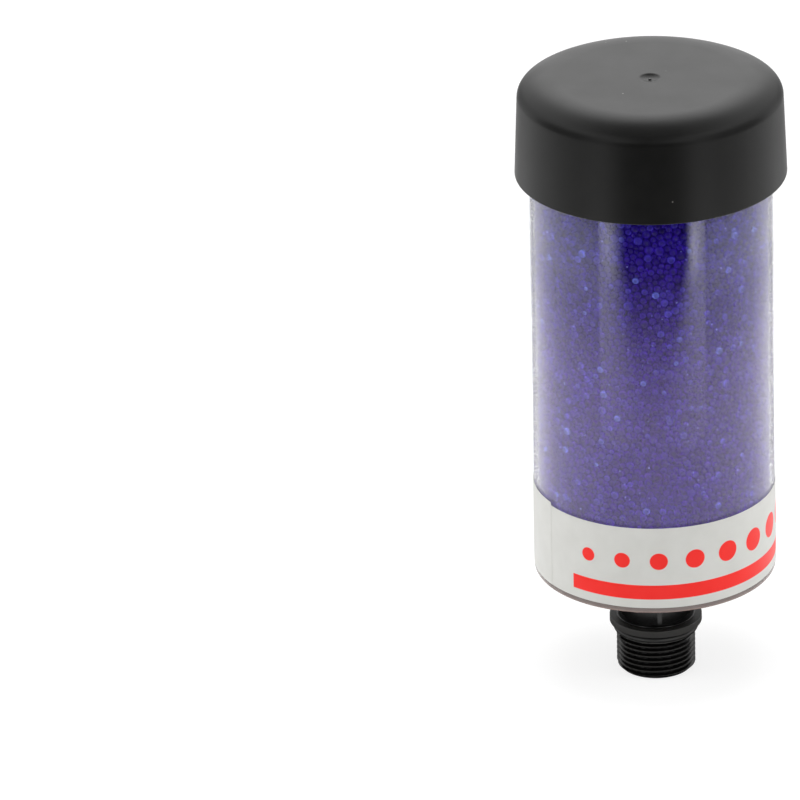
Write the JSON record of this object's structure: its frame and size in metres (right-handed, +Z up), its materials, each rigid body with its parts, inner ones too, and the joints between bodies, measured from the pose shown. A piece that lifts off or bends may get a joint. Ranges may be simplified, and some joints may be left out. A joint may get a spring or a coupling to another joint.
{
  "type": "silica gel breather",
  "caption": "Clear tube of blue drying beads with a black push-on cap, a clear base plate with air intake holes and a black threaded stem that dries the air drawn into a tank.",
  "frame": {"origin": "on the axis, at the end face of the threaded stem", "axes": "+Z up the axis from the stem to the cap; -Y is the side that faces the camera"},
  "size_m": [0.1132, 0.1132, 0.2697],
  "materials": {
    "stem_plastic": "black moulded plastic, satin to glossy",
    "seal_rubber": "black rubber, dull",
    "plate_clear": "smoky clear moulded plastic",
    "tube_clear": "clear extruded acrylic, glossy",
    "label_film": "printed film, pale grey with red bands",
    "foam": "dark open-cell foam",
    "felt": "white needled felt",
    "pipe_plastic": "pale grey plastic pipe",
    "gel_beads": "deep blue translucent beads",
    "cap_plastic": "black soft plastic, matte"
  },
  "bodies": {
    "housing": {"threaded_stem": "stem_plastic", "stem_seal": "seal_rubber", "base_plate": "plate_clear", "housing_tube": "tube_clear", "label": "label_film", "intake_foam": "foam", "intake_felt": "felt", "standpipe": "pipe_plastic", "silica_gel": "gel_beads", "outlet_felt": "felt", "outlet_foam": "foam"},
    "cap": {"cap": "cap_plastic"}
  },
  "joints": [
    {"name": "cap_lift", "type": "slide", "parent": "housing", "child": "cap", "axis": [0, 0, 1], "range_m": [0, 0.05]}
  ]
}
